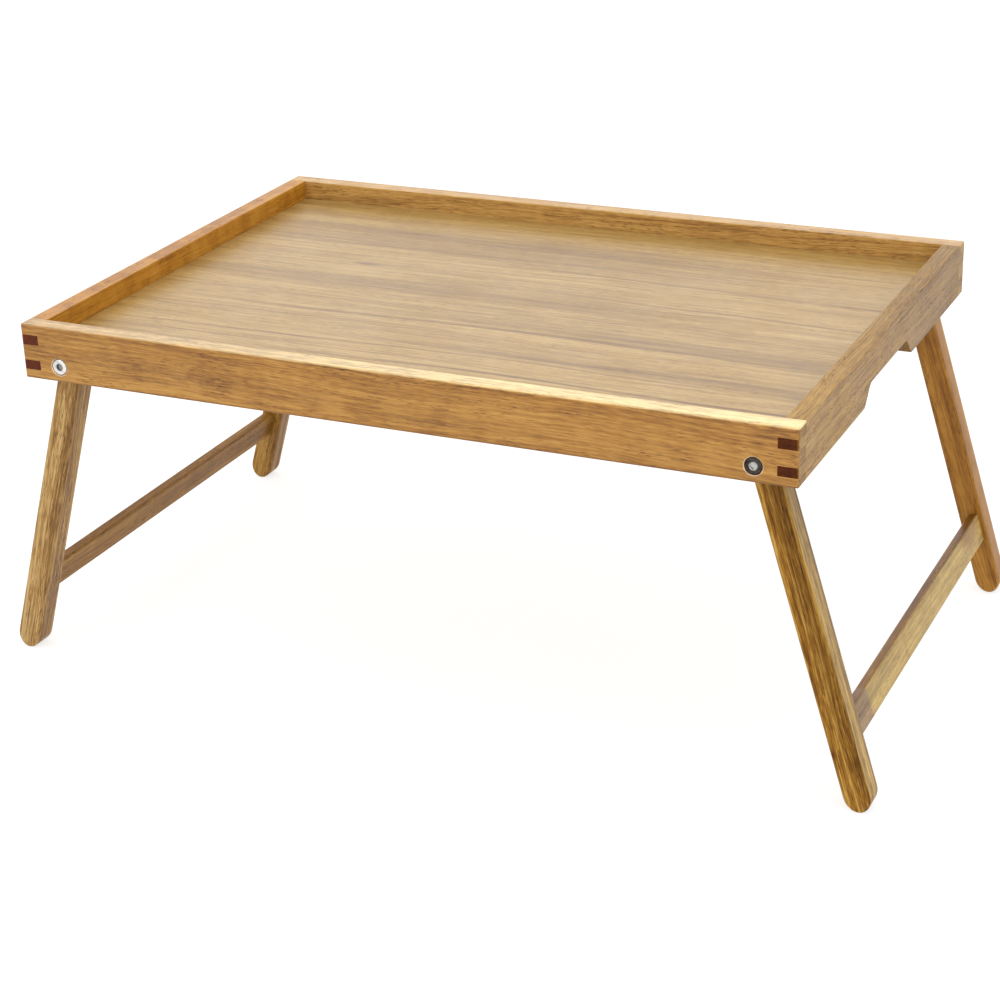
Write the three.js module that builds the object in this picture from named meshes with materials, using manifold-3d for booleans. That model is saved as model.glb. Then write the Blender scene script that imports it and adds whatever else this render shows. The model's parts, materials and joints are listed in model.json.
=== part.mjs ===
// A folding bed tray table in acacia: a finger-jointed tray with a veneered panel
// in its grooves, on two leg frames that fold flat under the panel. Each leg turns
// on a bolt that passes through the tray's long rail into an insert in the leg.
//
// Millimetres, +Z up. +X runs along the tray's length, to the right of somebody who
// sits in front of it, and +Y runs away from them. The origin is on the floor, under
// the middle of the tray. The table stands open, with its four feet on Z = 0.

import * as THREE from 'three';
import { mergeVertices } from 'three/addons/utils/BufferGeometryUtils.js';
import Module from 'manifold-3d';

// Tray
const TRAY_LENGTH = 500;
const TRAY_WIDTH = 350;
const RAIL_HEIGHT = 35;
const RAIL_THICKNESS = 12;
const FINGER_EDGES = [6.8, 13.1, 23.2, 29.2]; // joint lines, down from the rim
const PANEL_BELOW_RIM = 13;
const PANEL_THICKNESS = 4;
const TONGUE_LENGTH = 5; // how far the panel's edge runs into the rails
const TONGUE_REBATE = 0.6; // how far the tongue's top lies under the panel's top

// Handle notch in the lower edge of each end rail
const NOTCH_WIDTH = 100; // across the mouth, without the rounded corners
const NOTCH_DEPTH = 12;
const NOTCH_SLOPE = THREE.MathUtils.degToRad(48);
const NOTCH_MOUTH_RADIUS = 4;
const NOTCH_INNER_RADIUS = 6;

// Leg frames
const PIVOT_FROM_END = 25.7;
const PIVOT_BELOW_RIM = 25.6;
const SPLAY = THREE.MathUtils.degToRad(16.5);
const LEG_REACH = 220; // from the pivot to the leg's tip, along the leg
const LEG_DEPTH = 16.5; // across the leg, in the plane it turns in
const LEG_THICKNESS = 16; // along the pivot
const FOOT_ROUNDING = 10.5; // length of the half ellipse that ends the leg
const STRETCHER_HEIGHT = 19.5;
const STRETCHER_THICKNESS = 7;
const STRETCHER_FROM_TIP = 58; // from the leg's tip up to the stretcher's upper edge
const STRETCHER_OFFSET = 1.5; // outwards, from the legs' middle plane

// Dowels between a stretcher and a leg
const DOWEL_RADIUS = 2;
const DOWEL_LENGTH = 24;
const DOWEL_IN_LEG = 10;
const DOWEL_SPACING = 10;
const DOWEL_CHAMFER = 0.6;

// Pivot hardware
const BOLT_RADIUS = 3;
const BOLT_HEAD_RADIUS = 5;
const BOLT_HEAD_HEIGHT = 2.4;
const BOLT_HEAD_SINK = 0.3; // how far the head lies under the rail's face
const BOLT_HEAD_CHAMFER = 0.5;
const BOLT_LENGTH = 22; // shank, under the head
const BOLT_TIP_CHAMFER = 0.8;
const SEAT_CHAMFER = 0.5; // round the mouth of the sunk seat in the rail
const SOCKET_ACROSS_FLATS = 4;
const SOCKET_DEPTH = 1.8;
const WASHER_RADIUS = 6.5;
const WASHER_THICKNESS = 1;
const INSERT_RADIUS = 4.5;
const INSERT_LENGTH = 12;

// Clearances
const GLUE_GAP = 0.2; // between glued pieces of the tray
const FIT_GAP = 0.3; // between neighbours in the leg frames
const BOLT_CLEARANCE = 0.4; // round the bolt, in the rail
const CUT = 1; // how far a cutting tool stands out of what it cuts

// Derived places
const FOOT_CENTRE = LEG_REACH - FOOT_ROUNDING;
const HALF_DEPTH = LEG_DEPTH / 2;
const FOOT_DROP = Math.hypot(HALF_DEPTH * Math.sin(SPLAY), FOOT_ROUNDING * Math.cos(SPLAY));
const PIVOT_X = TRAY_LENGTH / 2 - PIVOT_FROM_END;
const PIVOT_Z = FOOT_CENTRE * Math.cos(SPLAY) + FOOT_DROP;
const RIM_Z = PIVOT_Z + PIVOT_BELOW_RIM;
const RAIL_BOTTOM_Z = RIM_Z - RAIL_HEIGHT;
const PANEL_TOP_Z = RIM_Z - PANEL_BELOW_RIM;
const PANEL_BOTTOM_Z = PANEL_TOP_Z - PANEL_THICKNESS;
const INNER_X = TRAY_LENGTH / 2 - RAIL_THICKNESS;
const INNER_Y = TRAY_WIDTH / 2 - RAIL_THICKNESS;
const LEG_OUTER_Y = INNER_Y - WASHER_THICKNESS - 2 * FIT_GAP;
const LEG_INNER_Y = LEG_OUTER_Y - LEG_THICKNESS;
const HEAD_UNDERSIDE_Y = TRAY_WIDTH / 2 - BOLT_HEAD_SINK - BOLT_HEAD_HEIGHT;

const ROUND_SEGMENTS = 24;
const ARC_SEGMENTS = 6;
const CROWN_SEGMENTS = 12;
const FOOT_SEGMENTS = [10, 8]; // from the outer side to the lowest point, and on
const SAME_POINT = 1e-4; // vertices closer than this are one

const wasm = await Module();
wasm.setup();

// Closed geometry to solid, and back
function toSolid(geometry) {
  const bare = geometry.clone();
  bare.deleteAttribute('normal');
  bare.deleteAttribute('uv');
  const merged = mergeVertices(bare, SAME_POINT);
  const vertProperties = new Float32Array(merged.attributes.position.array);
  const triVerts = new Uint32Array(merged.index.array);
  return new wasm.Manifold(new wasm.Mesh({ numProp: 3, vertProperties, triVerts }));
}

function toGeometry(solid) {
  const mesh = solid.getMesh();
  const geometry = new THREE.BufferGeometry();
  geometry.setAttribute('position', new THREE.BufferAttribute(mesh.vertProperties, 3));
  geometry.setIndex(new THREE.BufferAttribute(mesh.triVerts, 1));
  geometry.computeVertexNormals();
  return geometry;
}

function cutFrom(body, tools) {
  let solid = toSolid(body);
  for (const tool of tools) {
    solid = solid.subtract(toSolid(tool));
  }
  return toGeometry(solid);
}

// A box between any two opposite corners
function block(a, b) {
  const [width, depth, height] = a.map((value, i) => Math.abs(b[i] - value));
  const [x, y, z] = a.map((value, i) => (value + b[i]) / 2);
  return new THREE.BoxGeometry(width, depth, height).translate(x, y, z);
}

function extrude(outline, depth) {
  return new THREE.ExtrudeGeometry(outline, { depth, bevelEnabled: false, curveSegments: ARC_SEGMENTS });
}

// An outline drawn in X and Z, as a solid between two values of Y
function prismAlongY(outline, y0, y1) {
  const prism = extrude(outline, Math.abs(y1 - y0)).rotateX(Math.PI / 2);
  return prism.translate(0, Math.max(y0, y1), 0);
}

// An outline drawn in Y and Z, as a solid between two values of X
function prismAlongX(outline, x0, x1) {
  const prism = extrude(outline, Math.abs(x1 - x0)).rotateX(Math.PI / 2).rotateZ(Math.PI / 2);
  return prism.translate(Math.min(x0, x1), 0, 0);
}

// A round solid about a line along Y. The profile is a list of [radius, y], with y
// counted away from the tray's middle, and end is -1 at the front and 1 at the back.
function turnedAlongY(profile, end, x = 0, z = 0) {
  const points = profile.map(([radius, y]) => new THREE.Vector2(radius, end * y));
  if (end > 0) {
    points.reverse();
  }
  return new THREE.LatheGeometry(points, ROUND_SEGMENTS).translate(x, 0, z);
}

function material(color, roughness, metalness = 0) {
  return new THREE.MeshStandardMaterial({ color, roughness, metalness });
}

const LONG_RAIL_WOOD = material(0xb98647, 0.5);
const END_RAIL_WOOD = material(0xa9855a, 0.5);
const PANEL_VENEER = material(0xc7a373, 0.42);
const LEG_WOOD = material(0xa97b45, 0.52);
const STRETCHER_WOOD = material(0x8f6a42, 0.55);
const DOWEL_WOOD = material(0xd9bd8c, 0.7);
const BOLT_STEEL = material(0xa9a9a6, 0.32, 1);
const WASHER_STEEL = material(0xb9bab8, 0.38, 1);
const INSERT_BRASS = material(0xb99a52, 0.4, 1);

function piece(name, geometry, finish) {
  const mesh = new THREE.Mesh(geometry, finish);
  mesh.name = name;
  return mesh;
}

// Heights of the finger joint's steps, from the rim down to the rails' lower edge.
// The long rails keep every other step, starting with the top one.
const STEPS = [-CUT, ...FINGER_EDGES, RAIL_HEIGHT + CUT].map((drop) => RIM_Z - drop);

// The slots at both ends of a rail, from its first removed step on. Each grows by
// half of the glue gap up and down, and by a whole one into the rail.
function fingerSlots(firstStep, box) {
  const slots = [];
  for (let step = firstStep; step < STEPS.length - 1; step += 2) {
    const top = STEPS[step] + GLUE_GAP / 2;
    const bottom = STEPS[step + 1] - GLUE_GAP / 2;
    slots.push(box(-1, bottom, top), box(1, bottom, top));
  }
  return slots;
}

const GROOVE_TOP_Z = PANEL_TOP_Z - TONGUE_REBATE + GLUE_GAP;
const GROOVE_BOTTOM_Z = PANEL_BOTTOM_Z - GLUE_GAP;

// One long rail, at the front (end -1) or the back (end 1)
function longRail(end) {
  const outer = end * TRAY_WIDTH / 2;
  const inner = end * INNER_Y;
  const grooveFloor = inner + end * (TONGUE_LENGTH + GLUE_GAP);
  const halfGroove = INNER_X + TONGUE_LENGTH + GLUE_GAP;
  const body = block([-TRAY_LENGTH / 2, inner, RAIL_BOTTOM_Z], [TRAY_LENGTH / 2, outer, RIM_Z]);
  const slots = fingerSlots(1, (side, bottom, top) => {
    const floor = side * (INNER_X - GLUE_GAP);
    const mouth = side * (TRAY_LENGTH / 2 + CUT);
    return block([floor, -TRAY_WIDTH, bottom], [mouth, TRAY_WIDTH, top]);
  });
  const groove = block(
    [-halfGroove, grooveFloor, GROOVE_BOTTOM_Z],
    [halfGroove, inner - end * CUT, GROOVE_TOP_Z],
  );
  // A clearance hole with a sunk seat for the bolt's head, its mouth chamfered
  const seatRadius = BOLT_HEAD_RADIUS + BOLT_CLEARANCE;
  const holeRadius = BOLT_RADIUS + BOLT_CLEARANCE;
  const seatFloor = HEAD_UNDERSIDE_Y - FIT_GAP;
  const face = TRAY_WIDTH / 2;
  const boreProfile = [
    [0, face + CUT],
    [seatRadius + SEAT_CHAMFER + CUT, face + CUT],
    [seatRadius, face - SEAT_CHAMFER],
    [seatRadius, seatFloor],
    [holeRadius, seatFloor],
    [holeRadius, INNER_Y - CUT],
    [0, INNER_Y - CUT],
  ];
  const bores = [-1, 1].map((side) => turnedAlongY(boreProfile, end, side * PIVOT_X, PIVOT_Z));
  return cutFrom(body, [...slots, groove, ...bores]);
}

// The handle notch, drawn in Y and Z with its ceiling up: a flat ceiling, a fillet,
// a slope, and a rounded corner at the rail's lower edge, on both sides of the middle
function notchOutline() {
  const ceiling = RAIL_BOTTOM_Z + NOTCH_DEPTH;
  const mouthCorner = NOTCH_WIDTH / 2;
  const ceilingCorner = mouthCorner - NOTCH_DEPTH / Math.tan(NOTCH_SLOPE);
  const tangent = Math.tan(NOTCH_SLOPE / 2);
  const fillet = [ceilingCorner - NOTCH_INNER_RADIUS * tangent, ceiling - NOTCH_INNER_RADIUS];
  const round = [mouthCorner + NOTCH_MOUTH_RADIUS * tangent, RAIL_BOTTOM_Z + NOTCH_MOUTH_RADIUS];
  const up = Math.PI / 2;
  const outline = new THREE.Shape();
  outline.moveTo(-round[0], RAIL_BOTTOM_Z - CUT);
  outline.lineTo(-round[0], RAIL_BOTTOM_Z);
  outline.absarc(-round[0], round[1], NOTCH_MOUTH_RADIUS, -up, -up + NOTCH_SLOPE, false);
  outline.absarc(-fillet[0], fillet[1], NOTCH_INNER_RADIUS, up + NOTCH_SLOPE, up, true);
  outline.absarc(fillet[0], fillet[1], NOTCH_INNER_RADIUS, up, up - NOTCH_SLOPE, true);
  outline.absarc(round[0], round[1], NOTCH_MOUTH_RADIUS, -up - NOTCH_SLOPE, -up, false);
  outline.lineTo(round[0], RAIL_BOTTOM_Z - CUT);
  outline.closePath();
  return outline;
}

// One end rail, on the left (side -1) or the right (side 1)
function endRail(side) {
  const outer = side * TRAY_LENGTH / 2;
  const inner = side * INNER_X;
  const grooveFloor = inner + side * (TONGUE_LENGTH + GLUE_GAP);
  const halfGroove = INNER_Y + TONGUE_LENGTH;
  const body = block([inner, -TRAY_WIDTH / 2, RAIL_BOTTOM_Z], [outer, TRAY_WIDTH / 2, RIM_Z]);
  const slots = fingerSlots(0, (end, bottom, top) => {
    const floor = end * (INNER_Y - GLUE_GAP);
    const mouth = end * (TRAY_WIDTH / 2 + CUT);
    return block([-TRAY_LENGTH, floor, bottom], [TRAY_LENGTH, mouth, top]);
  });
  const groove = block(
    [grooveFloor, -halfGroove, GROOVE_BOTTOM_Z],
    [inner - side * CUT, halfGroove, GROOVE_TOP_Z],
  );
  const notch = prismAlongX(notchOutline(), inner - side * CUT, outer + side * CUT);
  return cutFrom(body, [...slots, groove, notch]);
}

// The panel: a field that shows between the rails, and a thinner tongue all round
function trayPanel() {
  const halfX = INNER_X - GLUE_GAP;
  const halfY = INNER_Y - GLUE_GAP;
  const tongueX = INNER_X + TONGUE_LENGTH;
  const tongueY = INNER_Y + TONGUE_LENGTH;
  const field = block([-halfX, -halfY, PANEL_BOTTOM_Z], [halfX, halfY, PANEL_TOP_Z]);
  const tongue = block(
    [-tongueX, -tongueY, PANEL_BOTTOM_Z],
    [tongueX, tongueY, PANEL_TOP_Z - TONGUE_REBATE],
  );
  return toGeometry(toSolid(field).add(toSolid(tongue)));
}

// Points of a circle's or an ellipse's arc from one angle to another. On the left side
// the arc is mirrored.
function arcPoints(side, [radiusX, radiusZ], centreZ, from, to, steps) {
  const angles = Array.from({ length: steps + 1 }, (_, step) => from + (to - from) * step / steps);
  return angles.map((angle) => new THREE.Vector2(
    side * radiusX * Math.cos(angle),
    centreZ + radiusZ * Math.sin(angle),
  ));
}

// The leg's outline in its frame's own X and Z, with the pivot at the origin. The top
// is round towards the tray's middle, so that it clears the panel as the leg folds,
// and is cut level on the outer side, where it bears on the panel and stops the leg.
// The foot is a half ellipse with a point where it stands on the floor.
function legOutline(side) {
  const crown = [HALF_DEPTH, HALF_DEPTH];
  const foot = [HALF_DEPTH, FOOT_ROUNDING];
  const levelCorner = HALF_DEPTH * (1 - Math.sin(SPLAY)) / Math.cos(SPLAY);
  const lowest = -Math.atan2(FOOT_ROUNDING * Math.cos(SPLAY), -HALF_DEPTH * Math.sin(SPLAY));
  return new THREE.Shape([
    ...arcPoints(side, crown, 0, Math.PI, Math.PI / 2 - SPLAY, CROWN_SEGMENTS),
    new THREE.Vector2(side * HALF_DEPTH, levelCorner),
    ...arcPoints(side, foot, -FOOT_CENTRE, 0, lowest, FOOT_SEGMENTS[0]),
    ...arcPoints(side, foot, -FOOT_CENTRE, lowest, -Math.PI, FOOT_SEGMENTS[1]).slice(1),
  ]);
}

const STRETCHER_TOP = STRETCHER_FROM_TIP - LEG_REACH;
const STRETCHER_MIDDLE = STRETCHER_TOP - STRETCHER_HEIGHT / 2;
const DOWEL_HEIGHTS = [-1, 1].map((sign) => STRETCHER_MIDDLE + sign * DOWEL_SPACING / 2);

// A straight round hole or pin along Y, from y0 to y1 counted away from the middle
function rod(radius, y0, y1, end, x, z) {
  return turnedAlongY([[0, y1], [radius, y1], [radius, y0], [0, y0]], end, x, z);
}

function leg(side, end) {
  const body = prismAlongY(legOutline(side), end * LEG_INNER_Y, end * LEG_OUTER_Y);
  const pocketFloor = LEG_OUTER_Y - INSERT_LENGTH - 2 * FIT_GAP;
  const pocket = rod(INSERT_RADIUS + FIT_GAP, pocketFloor, LEG_OUTER_Y + CUT, end, 0, 0);
  const dowelHoles = DOWEL_HEIGHTS.map((z) => rod(
    DOWEL_RADIUS + FIT_GAP,
    LEG_INNER_Y - CUT,
    LEG_INNER_Y + DOWEL_IN_LEG + FIT_GAP,
    end,
    side * STRETCHER_OFFSET,
    z,
  ));
  return cutFrom(body, [pocket, ...dowelHoles]);
}

function stretcher(side) {
  const near = side * (STRETCHER_OFFSET - STRETCHER_THICKNESS / 2);
  const far = side * (STRETCHER_OFFSET + STRETCHER_THICKNESS / 2);
  const half = LEG_INNER_Y - FIT_GAP;
  const body = block([near, -half, STRETCHER_TOP - STRETCHER_HEIGHT], [far, half, STRETCHER_TOP]);
  const holeRadius = DOWEL_RADIUS + FIT_GAP;
  const holeFloor = LEG_INNER_Y + DOWEL_IN_LEG - DOWEL_LENGTH - FIT_GAP;
  const holes = [-1, 1].flatMap((end) => DOWEL_HEIGHTS.map(
    (z) => rod(holeRadius, holeFloor, half + CUT, end, side * STRETCHER_OFFSET, z),
  ));
  return cutFrom(body, holes);
}

function dowel(side, end, z) {
  const outer = LEG_INNER_Y + DOWEL_IN_LEG;
  const inner = outer - DOWEL_LENGTH;
  return turnedAlongY([
    [0, outer],
    [DOWEL_RADIUS - DOWEL_CHAMFER, outer],
    [DOWEL_RADIUS, outer - DOWEL_CHAMFER],
    [DOWEL_RADIUS, inner + DOWEL_CHAMFER],
    [DOWEL_RADIUS - DOWEL_CHAMFER, inner],
    [0, inner],
  ], end, side * STRETCHER_OFFSET, z);
}

// A flat-headed bolt with a hexagon socket
function bolt(end) {
  const headFace = HEAD_UNDERSIDE_Y + BOLT_HEAD_HEIGHT;
  const tip = HEAD_UNDERSIDE_Y - BOLT_LENGTH;
  const body = turnedAlongY([
    [0, headFace],
    [BOLT_HEAD_RADIUS - BOLT_HEAD_CHAMFER, headFace],
    [BOLT_HEAD_RADIUS, headFace - BOLT_HEAD_CHAMFER],
    [BOLT_HEAD_RADIUS, HEAD_UNDERSIDE_Y],
    [BOLT_RADIUS, HEAD_UNDERSIDE_Y],
    [BOLT_RADIUS, tip + BOLT_TIP_CHAMFER],
    [BOLT_RADIUS - BOLT_TIP_CHAMFER, tip],
    [0, tip],
  ], end);
  const socketRadius = SOCKET_ACROSS_FLATS / Math.sqrt(3);
  const socket = new THREE.CylinderGeometry(socketRadius, socketRadius, SOCKET_DEPTH + CUT, 6);
  socket.translate(0, end * (headFace + (CUT - SOCKET_DEPTH) / 2), 0);
  return cutFrom(body, [socket]);
}

// A ring about a line along Y
function ring(innerRadius, outerRadius, y0, y1, end) {
  return turnedAlongY([
    [innerRadius, y1],
    [outerRadius, y1],
    [outerRadius, y0],
    [innerRadius, y0],
    [innerRadius, y1],
  ], end);
}

function washer(end) {
  const inner = LEG_OUTER_Y + FIT_GAP;
  return ring(BOLT_RADIUS + BOLT_CLEARANCE, WASHER_RADIUS, inner, inner + WASHER_THICKNESS, end);
}

function threadedInsert(end) {
  const outer = LEG_OUTER_Y - FIT_GAP;
  return ring(BOLT_RADIUS + FIT_GAP, INSERT_RADIUS, outer - INSERT_LENGTH, outer, end);
}

// One leg frame about its pivot line, tilted outwards by the splay
function legFrame(side) {
  const name = side < 0 ? 'left' : 'right';
  const frame = new THREE.Group();
  frame.position.set(side * PIVOT_X, 0, PIVOT_Z);
  frame.rotation.y = -side * SPLAY;
  frame.add(piece(`${name}_stretcher`, stretcher(side), STRETCHER_WOOD));
  for (const [endName, end] of [['front', -1], ['back', 1]]) {
    const at = `${name}_${endName}`;
    frame.add(piece(`${at}_leg`, leg(side, end), LEG_WOOD));
    frame.add(piece(`${at}_lower_dowel`, dowel(side, end, DOWEL_HEIGHTS[0]), DOWEL_WOOD));
    frame.add(piece(`${at}_upper_dowel`, dowel(side, end, DOWEL_HEIGHTS[1]), DOWEL_WOOD));
    frame.add(piece(`${at}_pivot_bolt`, bolt(end), BOLT_STEEL));
    frame.add(piece(`${at}_spacer_washer`, washer(end), WASHER_STEEL));
    frame.add(piece(`${at}_threaded_insert`, threadedInsert(end), INSERT_BRASS));
  }
  return frame;
}

function tray() {
  const group = new THREE.Group();
  group.add(piece('front_rail', longRail(-1), LONG_RAIL_WOOD));
  group.add(piece('back_rail', longRail(1), LONG_RAIL_WOOD));
  group.add(piece('left_rail', endRail(-1), END_RAIL_WOOD));
  group.add(piece('right_rail', endRail(1), END_RAIL_WOOD));
  group.add(piece('tray_panel', trayPanel(), PANEL_VENEER));
  return group;
}

const table = new THREE.Group();
table.add(tray(), legFrame(-1), legFrame(1));

export default table;
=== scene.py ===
"""Looks of the folding bed tray table: finer pieces, materials, light and camera round
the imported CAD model.

Metres, in the CAD's own frame: +X along the tray, +Y away from the front, +Z up, and the
feet on Z = 0. A leg frame's pieces are modelled in the frame's own axes, with the pivot
at the origin and Z up along the legs, and then placed by one matrix.
"""

import json
import math

import bmesh
import bpy
from mathutils import Matrix, Vector


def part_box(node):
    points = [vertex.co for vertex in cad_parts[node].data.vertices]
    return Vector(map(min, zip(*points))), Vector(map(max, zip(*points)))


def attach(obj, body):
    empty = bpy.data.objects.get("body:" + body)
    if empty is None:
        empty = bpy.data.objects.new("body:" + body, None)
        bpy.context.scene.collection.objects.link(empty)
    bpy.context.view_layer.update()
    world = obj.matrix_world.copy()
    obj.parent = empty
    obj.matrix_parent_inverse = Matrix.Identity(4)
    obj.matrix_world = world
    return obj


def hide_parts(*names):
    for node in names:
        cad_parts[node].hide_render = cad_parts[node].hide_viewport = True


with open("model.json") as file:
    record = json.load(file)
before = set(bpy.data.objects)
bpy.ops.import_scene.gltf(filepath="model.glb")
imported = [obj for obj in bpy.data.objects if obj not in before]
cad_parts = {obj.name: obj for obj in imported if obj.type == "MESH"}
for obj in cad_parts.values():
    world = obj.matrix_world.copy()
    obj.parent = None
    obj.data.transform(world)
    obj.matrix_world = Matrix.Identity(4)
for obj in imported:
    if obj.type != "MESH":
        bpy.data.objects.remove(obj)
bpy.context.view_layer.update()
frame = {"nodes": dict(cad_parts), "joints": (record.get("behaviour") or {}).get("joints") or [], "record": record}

MM = 0.001
CUT = 1 * MM  # how far a cutting tool stands out of what it cuts
SAME_PLACE = 0.02 * MM  # a point this close to a plane lies on it

# The tray, from the CAD
front_low, front_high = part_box("front_rail")
right_low, right_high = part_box("right_rail")
panel_low, panel_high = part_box("tray_panel")
HALF_LENGTH = right_high.x
HALF_WIDTH = -front_low.y
INNER_X = right_low.x
INNER_Y = -front_high.y
RIM_Z = front_high.z
RAIL_BOTTOM_Z = front_low.z

# The leg frames, from the CAD
PIVOTS = {joint["child"]: Vector(joint["pos_m"]) for joint in frame["joints"]}
PIVOT_X, PIVOT_Z = PIVOTS["right_frame"].x, PIVOTS["right_frame"].z
# A frame folds through its splay and a right angle
SPLAY = math.radians(frame["joints"][0]["range_deg"][1] - 90)
SIDES = {"left": -1, "right": 1}
ENDS = {"front": -1, "back": 1}

# Rounding of the pieces
RAIL_EASE = 0.7 * MM
CORNER_RADIUS = 1.3 * MM  # the tray's upright corners
LEG_EASE = 1.6 * MM
STRETCHER_ROUND = 1.3 * MM
EASE_STEPS = 4
JOINT_GAP = 0.04 * MM  # each side of a glue line

# Handle notch, as the CAD draws it
NOTCH_WIDTH = 100 * MM
NOTCH_DEPTH = 12 * MM
NOTCH_SLOPE = math.radians(48)
NOTCH_MOUTH_RADIUS = 4 * MM
NOTCH_INNER_RADIUS = 6 * MM

# Groove round the panel
GROOVE_CLEARANCE = 0.2 * MM
TONGUE_REBATE = 0.6 * MM

# Leg
FOOT_ROUNDING = 10.5 * MM  # length of the half ellipse that ends the leg
LEG_CORNER_RADIUS = 2.4 * MM

# Hardware
BOLT_RADIUS = 3 * MM
BOLT_HEAD_HEIGHT = 2.4 * MM
BOLT_HEAD_CROWN = 0.12 * MM  # how far the head's rim lies under its middle
BOLT_HEAD_ROUNDING = 0.55 * MM
BOLT_SINK = 0.3 * MM  # how far the head lies under the rail's face
BOLT_TIP_TAPER = 0.8 * MM
SEAT_RADIUS = 5.4 * MM
SEAT_CHAMFER = 0.5 * MM
BORE_RADIUS = 3.4 * MM
SOCKET_ACROSS_FLATS = 4 * MM
SOCKET_DEPTH = 1.8 * MM
SOCKET_DIMPLE = 0.5 * MM  # depth of the cone in the socket's floor
SOCKET_CHAMFER = 0.35 * MM  # depth of the chamfer at the socket's mouth
SOCKET_SHADE_RADIUS = 2.7 * MM
RING_EASE = 0.2 * MM
WASHER_CLEARANCE = 0.4 * MM
INSERT_CLEARANCE = 0.3 * MM
PIN_CLEARANCE = 0.3 * MM
ON_AXIS = 0.01 * MM  # radius of a turned piece's end points, which stand for its axis
TURNED_SEGMENTS = 64


# ---------------------------------------------------------------- outlines


def arc(centre, radii, start, end, steps):
    """Points of an arc from one angle to another, on a circle or an upright ellipse."""
    angles = [start + (end - start) * step / steps for step in range(steps + 1)]
    return [
        Vector((centre[0] + radii[0] * math.cos(a), centre[1] + radii[1] * math.sin(a)))
        for a in angles
    ]


def rounded(corners, radius, steps=6):
    """A closed outline with every corner rounded, by steps + 1 points each."""
    outline = []
    for index, corner in enumerate(corners):
        before = (corners[index - 1] - corner).normalized()
        after = (corners[(index + 1) % len(corners)] - corner).normalized()
        half = before.angle(after) / 2
        centre = corner + (before + after).normalized() * radius / math.sin(half)
        start = corner + before * radius / math.tan(half) - centre
        end = corner + after * radius / math.tan(half) - centre
        from_angle = math.atan2(start.y, start.x)
        turn = math.atan2(start.x * end.y - start.y * end.x, start.dot(end))
        outline += arc(centre, (radius, radius), from_angle, from_angle + turn, steps)
    return outline


def rectangle(half_u, half_v, centre=(0, 0)):
    """The corners of a rectangle, anticlockwise."""
    signs = ((-1, -1), (1, -1), (1, 1), (-1, 1))
    return [Vector((centre[0] + u * half_u, centre[1] + v * half_v)) for u, v in signs]


def turns_left(outline):
    following = outline[1:] + outline[:1]
    return sum(a.x * b.y - a.y * b.x for a, b in zip(outline, following)) > 0


def offset(outline, distance):
    """A closed outline moved sideways: outwards if distance is positive."""
    sign = 1 if turns_left(outline) else -1
    moved = []
    for index, point in enumerate(outline):
        before = (point - outline[index - 1]).normalized()
        after = (outline[(index + 1) % len(outline)] - point).normalized()
        normal = Vector((before.y + after.y, -before.x - after.x)).normalized() * sign
        stretch = math.cos(before.angle(after) / 2)
        moved.append(point + normal * distance / stretch)
    return moved


# ---------------------------------------------------------------- solids


def mesh_object(name, bm):
    bmesh.ops.recalc_face_normals(bm, faces=bm.faces)
    mesh = bpy.data.meshes.new(name)
    bm.to_mesh(mesh)
    bm.free()
    made = bpy.data.objects.new(name, mesh)
    bpy.context.scene.collection.objects.link(made)
    return made


def loft(name, rings, closed=False):
    """A solid through rings of points, with flat ends, or closed on itself as a ring."""
    bm = bmesh.new()
    loops = [[bm.verts.new(point) for point in ring] for ring in rings]
    pairs = list(zip(loops, loops[1:]))
    if closed:
        pairs.append((loops[-1], loops[0]))
    else:
        bm.faces.new(loops[0])
        bm.faces.new(loops[-1])
    for near, far in pairs:
        for index in range(len(near)):
            beside = (index + 1) % len(near)
            bm.faces.new((near[index], near[beside], far[beside], far[index]))
    return mesh_object(name, bm)


def easing(radius):
    """How far in and how deep the points of an eased edge lie, from the flat face on."""
    angles = [math.pi / 2 * step / EASE_STEPS for step in range(EASE_STEPS + 1)]
    return [(radius * (1 - math.sin(a)), radius * (1 - math.cos(a))) for a in angles]


def along_x(u, v, w):
    return (w, u, v)


def along_y(u, v, w):
    return (u, w, v)


def along_z(u, v, w):
    return (u, v, w)


def swept(name, outline, place, low, high, ease, cutter=False):
    """A closed outline carried straight from low to high. A piece has its ends rounded
    over. A cutter flares at both faces and stands out of them, so that it leaves an
    opening with eased edges."""
    side = 1 if cutter else -1
    stations = [(low + depth, side * inwards) for inwards, depth in easing(ease)]
    stations += [(high - depth, side * inwards) for inwards, depth in reversed(easing(ease))]
    if cutter:
        stations = [(low - CUT, ease), *stations, (high + CUT, ease)]
    rings = [[place(*point, at) for point in offset(outline, moved)] for at, moved in stations]
    return loft(name, rings)


def block(name, low, high):
    rings = [
        [(low[0], low[1], z), (high[0], low[1], z), (high[0], high[1], z), (low[0], high[1], z)]
        for z in (low[2], high[2])
    ]
    return loft(name, rings)


def turned(name, profile, x=0, z=0, closed=False):
    """A round solid about a line along Y, from (radius, y) points."""
    step = 2 * math.pi / TURNED_SEGMENTS
    rings = [
        [
            (x + radius * math.cos(index * step), y, z + radius * math.sin(index * step))
            for index in range(TURNED_SEGMENTS)
        ]
        for radius, y in profile
    ]
    return loft(name, rings, closed)


def apply_modifiers(piece):
    """Puts the result of a piece's modifiers into its mesh."""
    evaluated = piece.evaluated_get(bpy.context.evaluated_depsgraph_get())
    mesh = bpy.data.meshes.new_from_object(evaluated)
    piece.modifiers.clear()
    piece.data = mesh
    return piece


def combine(piece, tools, operation):
    """Cuts, joins or meets a piece with other solids, which are used up."""
    for tool in tools:
        modifier = piece.modifiers.new("combine", "BOOLEAN")
        modifier.operation = operation
        modifier.solver = "MANIFOLD"
        modifier.object = tool
    apply_modifiers(piece)
    for tool in tools:
        bpy.data.objects.remove(tool)
    return piece


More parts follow.
